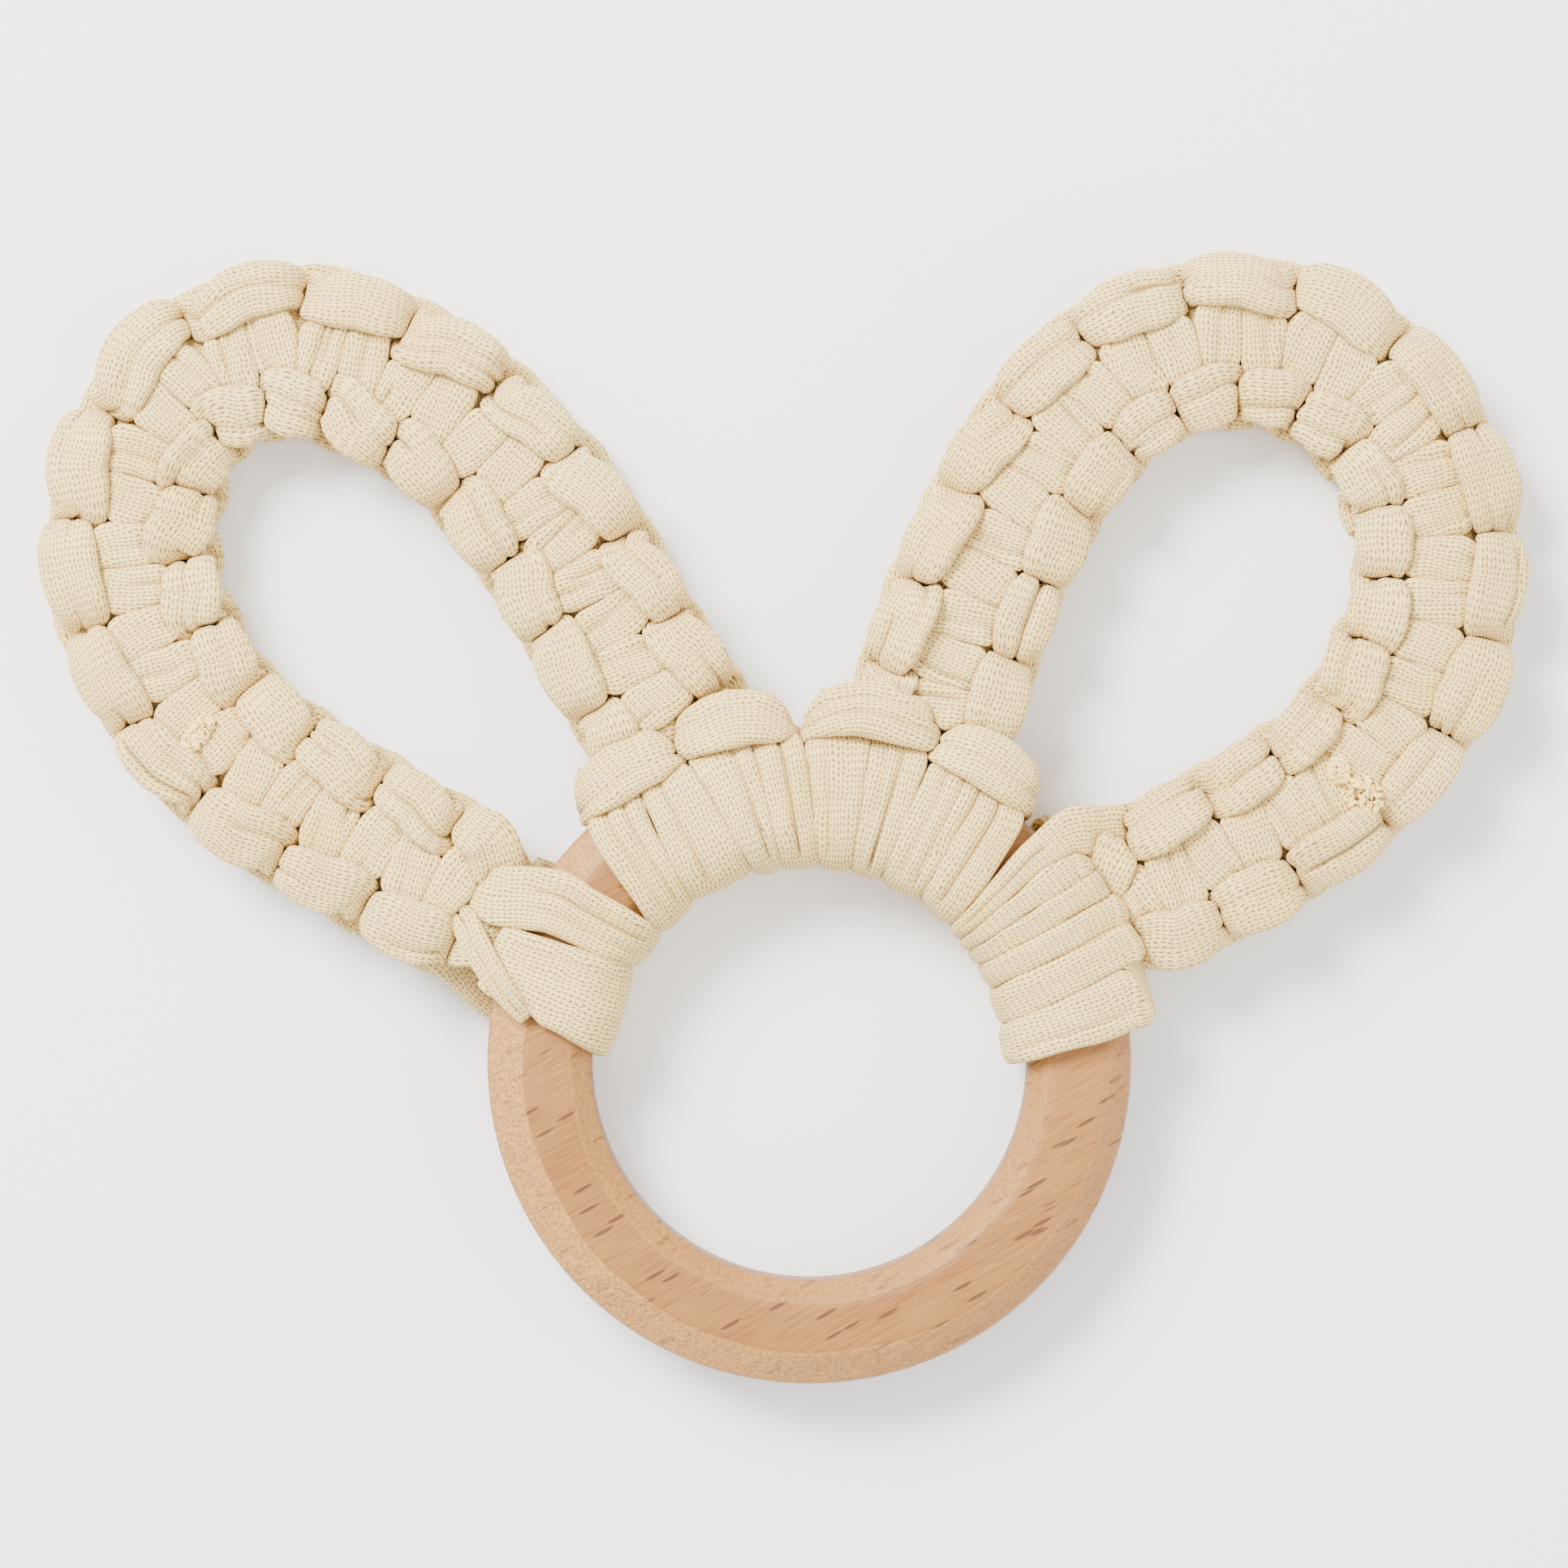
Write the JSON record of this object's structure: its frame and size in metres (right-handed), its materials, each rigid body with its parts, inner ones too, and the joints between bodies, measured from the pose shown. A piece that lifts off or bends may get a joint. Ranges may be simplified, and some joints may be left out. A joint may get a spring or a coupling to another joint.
{
  "type": "teething ring",
  "caption": "Beech wood teething ring with two ear-shaped loops of square-knotted cotton yarn hitched and wrapped onto its upper half.",
  "frame": {"origin": "centre of the wooden ring, on its mid-plane", "axes": "+Z along the ring's axis, out of the face that carries the folded ends of the hitches; +Y from the bare wood towards the ears; +X to the right seen from +Z"},
  "size_m": [0.1603, 0.1222, 0.0152],
  "materials": {
    "beech_wood": "hand sanded, oiled",
    "cotton_yarn": "knitted jersey, matte"
  },
  "bodies": {
    "ring": {"wooden_ring": "beech_wood"},
    "left_mount": {"left_hitch_near": "cotton_yarn", "left_hitch_far": "cotton_yarn", "left_hitch_tails": "cotton_yarn", "left_end_wrap_near": "cotton_yarn", "left_end_wrap_far": "cotton_yarn", "left_end_tails": "cotton_yarn"},
    "left_ear": {"left_filler_outer": "cotton_yarn", "left_filler_inner": "cotton_yarn", "left_front_cord": "cotton_yarn", "left_back_cord": "cotton_yarn", "left_cut_end": "cotton_yarn"},
    "right_mount": {"right_hitch_near": "cotton_yarn", "right_hitch_far": "cotton_yarn", "right_hitch_tails": "cotton_yarn", "right_end_wrap_near": "cotton_yarn", "right_end_wrap_far": "cotton_yarn", "right_end_tails": "cotton_yarn"},
    "right_ear": {"right_filler_outer": "cotton_yarn", "right_filler_inner": "cotton_yarn", "right_front_cord": "cotton_yarn", "right_back_cord": "cotton_yarn", "right_cut_end": "cotton_yarn"}
  },
  "joints": [
    {"name": "left_ear_slide", "type": "hinge", "parent": "ring", "child": "left_mount", "pos_m": [0, 0, 0], "axis": [0, 0, 1], "range_deg": [0, 60]},
    {"name": "left_ear_flop", "type": "hinge", "parent": "left_mount", "child": "left_ear", "pos_m": [-0.03111, 0.03111, 0], "axis": [0.7071, 0.7071, 0], "range_deg": [-60, 60]},
    {"name": "right_ear_slide", "type": "hinge", "parent": "ring", "child": "right_mount", "pos_m": [0, 0, 0], "axis": [0, 0, 1], "range_deg": [-60, 0]},
    {"name": "right_ear_flop", "type": "hinge", "parent": "right_mount", "child": "right_ear", "pos_m": [0.02828, 0.03371, 0], "axis": [0.766, -0.6428, 0], "range_deg": [-60, 60]}
  ]
}
